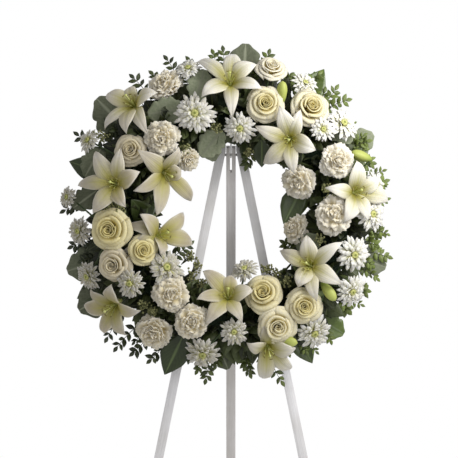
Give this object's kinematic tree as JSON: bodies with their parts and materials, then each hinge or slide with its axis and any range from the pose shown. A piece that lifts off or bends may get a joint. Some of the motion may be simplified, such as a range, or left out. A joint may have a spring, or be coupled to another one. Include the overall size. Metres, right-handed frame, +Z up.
{
  "type": "standing funeral wreath",
  "caption": "Round funeral wreath of white lilies, cream roses, carnations and daisy mums with greens on a foam ring, hung on a white three-legged folding easel.",
  "frame": {"origin": "on the floor, under the middle of the whole object", "axes": "+Z up, the wreath faces -Y and the rear leg reaches towards +Y"},
  "size_m": [0.6216, 0.4444, 1.2406],
  "materials": {
    "lily_petal": "satin",
    "rose_petal": "velvety",
    "carnation_petal": "matte",
    "mum_petal": "matte",
    "leaf": "satin",
    "foam": "fine open foam",
    "tray": "moulded",
    "painted_wood": "white paint",
    "painted_steel": "white paint",
    "zinc_steel": "zinc"
  },
  "bodies": {
    "easel_and_wreath": {"front_leg_left": "painted_wood", "front_leg_right": "painted_wood", "hinge_bolt": "zinc_steel", "hinge_nut": "zinc_steel", "wreath_hook": "painted_steel", "ring_tray": "tray", "foam_ring": "foam", "lily_01": "lily_petal", "lily_02": "lily_petal", "lily_03": "lily_petal", "lily_04": "lily_petal", "lily_05": "lily_petal", "lily_06": "lily_petal", "lily_07": "lily_petal", "lily_08": "lily_petal", "lily_09": "lily_petal", "lily_10": "lily_petal", "lily_11": "lily_petal", "rose_01": "rose_petal", "rose_02": "rose_petal", "rose_03": "rose_petal", "rose_04": "rose_petal", "rose_05": "rose_petal", "rose_06": "rose_petal", "rose_07": "rose_petal", "rose_08": "rose_petal", "rose_09": "rose_petal", "rose_10": "rose_petal", "carnation_01": "carnation_petal", "carnation_02": "carnation_petal", "carnation_03": "carnation_petal", "carnation_04": "carnation_petal", "carnation_05": "carnation_petal", "carnation_06": "carnation_petal", "carnation_07": "carnation_petal", "carnation_08": "carnation_petal", "carnation_09": "carnation_petal", "carnation_10": "carnation_petal", "mum_spray_01": "mum_petal", "mum_spray_02": "mum_petal", "mum_spray_03": "mum_petal", "mum_spray_04": "mum_petal", "mum_spray_05": "mum_petal", "mum_spray_06": "mum_petal", "mum_spray_07": "mum_petal", "mum_spray_08": "mum_petal", "mum_spray_09": "mum_petal", "outer_greens_01": "leaf", "outer_greens_02": "leaf", "outer_greens_03": "leaf", "outer_greens_04": "leaf", "outer_greens_05": "leaf", "outer_greens_06": "leaf", "outer_greens_07": "leaf", "outer_greens_08": "leaf", "inner_greens_01": "leaf", "inner_greens_02": "leaf", "inner_greens_03": "leaf", "inner_greens_04": "leaf"},
    "rear_leg": {"rear_leg": "painted_wood"}
  },
  "joints": [
    {"name": "rear_leg_fold", "type": "hinge", "parent": "easel_and_wreath", "child": "rear_leg", "pos_m": [0.00925, -0.04246, 1.03067], "axis": [-1, 0, 0], "range_deg": [0, 20]}
  ]
}
